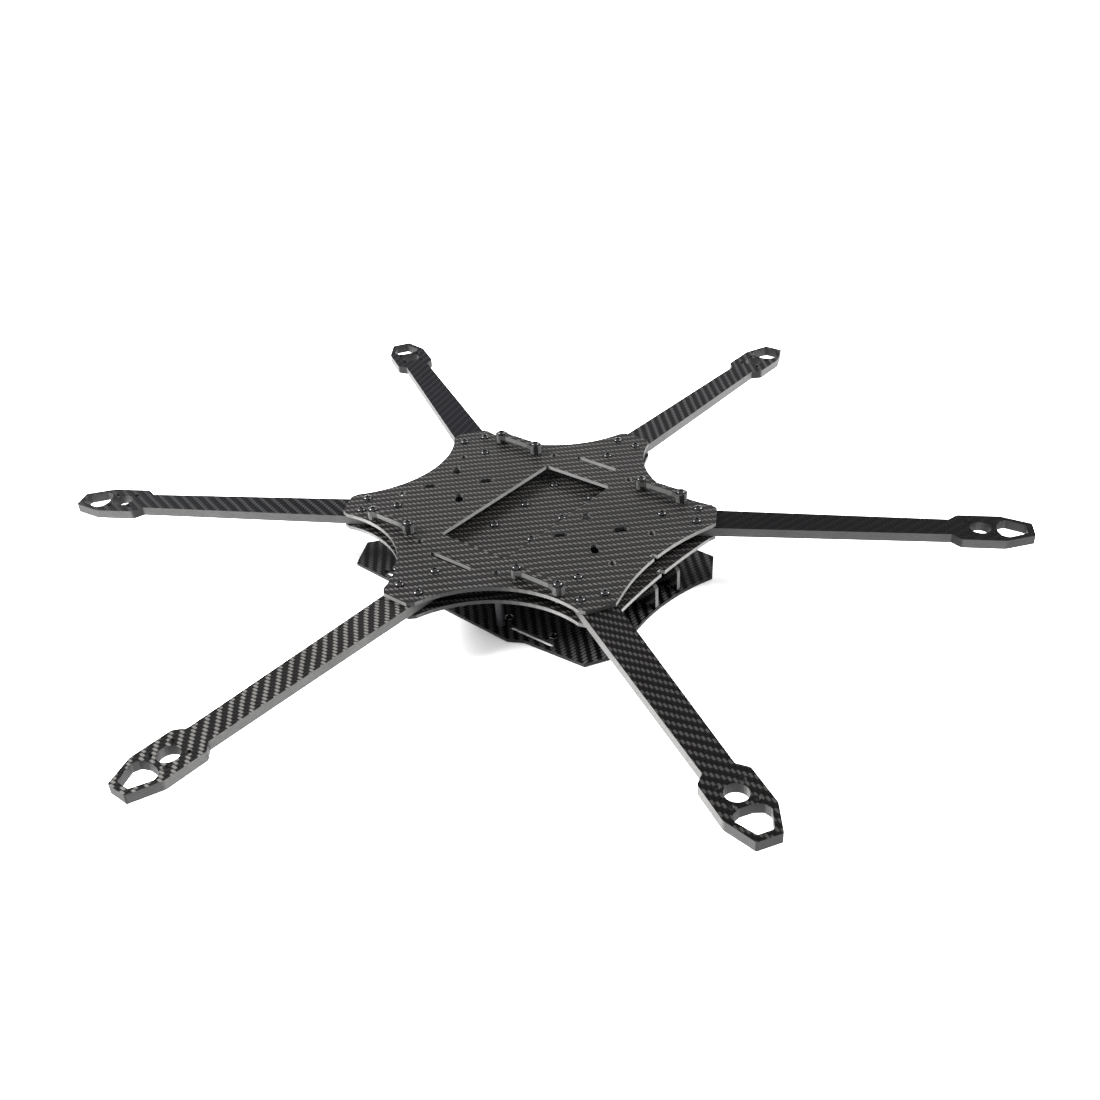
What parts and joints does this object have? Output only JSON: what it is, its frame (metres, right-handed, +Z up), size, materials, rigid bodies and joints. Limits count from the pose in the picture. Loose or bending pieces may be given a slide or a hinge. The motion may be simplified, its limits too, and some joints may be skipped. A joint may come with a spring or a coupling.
{
  "type": "hexacopter drone frame",
  "caption": "Bare hexacopter drone frame: flat arms clamped between two lobed plates, a lower plate on standoffs, strap bridges and motor pads.",
  "frame": {"origin": "centre of the frame in plan, at the underside of the lower plate", "axes": "+X forward, towards the nose uprights; +Y left, along the left arm; +Z up"},
  "size_m": [0.5354, 0.6108, 0.0476],
  "materials": {
    "carbon": "2x2 twill carbon-fibre laminate, satin faces and dull cut edges",
    "anodised": "black anodised",
    "screw": "black oxide, glossy"
  },
  "bodies": {
    "root": {"top_plate": "carbon", "mid_plate": "carbon", "lower_plate": "carbon", "arm_front_left": "carbon", "arm_left": "carbon", "arm_rear_left": "carbon", "arm_rear_right": "carbon", "arm_right": "carbon", "arm_front_right": "carbon", "strap_bridge_front_left": "carbon", "strap_bridge_rear_left": "carbon", "strap_bridge_rear_right": "carbon", "strap_bridge_front_right": "carbon", "nose_upright_inner": "carbon", "nose_upright_outer": "carbon", "standoff_front_left": "anodised", "standoff_side_left_front": "anodised", "standoff_side_left_rear": "anodised", "standoff_rear_left": "anodised", "standoff_rear_right": "anodised", "standoff_side_right_rear": "anodised", "standoff_side_right_front": "anodised", "standoff_front_right": "anodised", "screw_arm_front_left_1": "screw", "screw_arm_front_left_2": "screw", "screw_arm_front_left_3": "screw", "screw_arm_left_1": "screw", "screw_arm_left_2": "screw", "screw_arm_left_3": "screw", "screw_arm_rear_left_1": "screw", "screw_arm_rear_left_2": "screw", "screw_arm_rear_left_3": "screw", "screw_arm_rear_right_1": "screw", "screw_arm_rear_right_2": "screw", "screw_arm_rear_right_3": "screw", "screw_arm_right_1": "screw", "screw_arm_right_2": "screw", "screw_arm_right_3": "screw", "screw_arm_front_right_1": "screw", "screw_arm_front_right_2": "screw", "screw_arm_front_right_3": "screw", "screw_bridge_front_left_1": "screw", "screw_bridge_front_left_2": "screw", "screw_bridge_rear_left_1": "screw", "screw_bridge_rear_left_2": "screw", "screw_bridge_rear_right_1": "screw", "screw_bridge_rear_right_2": "screw", "screw_bridge_front_right_1": "screw", "screw_bridge_front_right_2": "screw"}
  },
  "joints": []
}
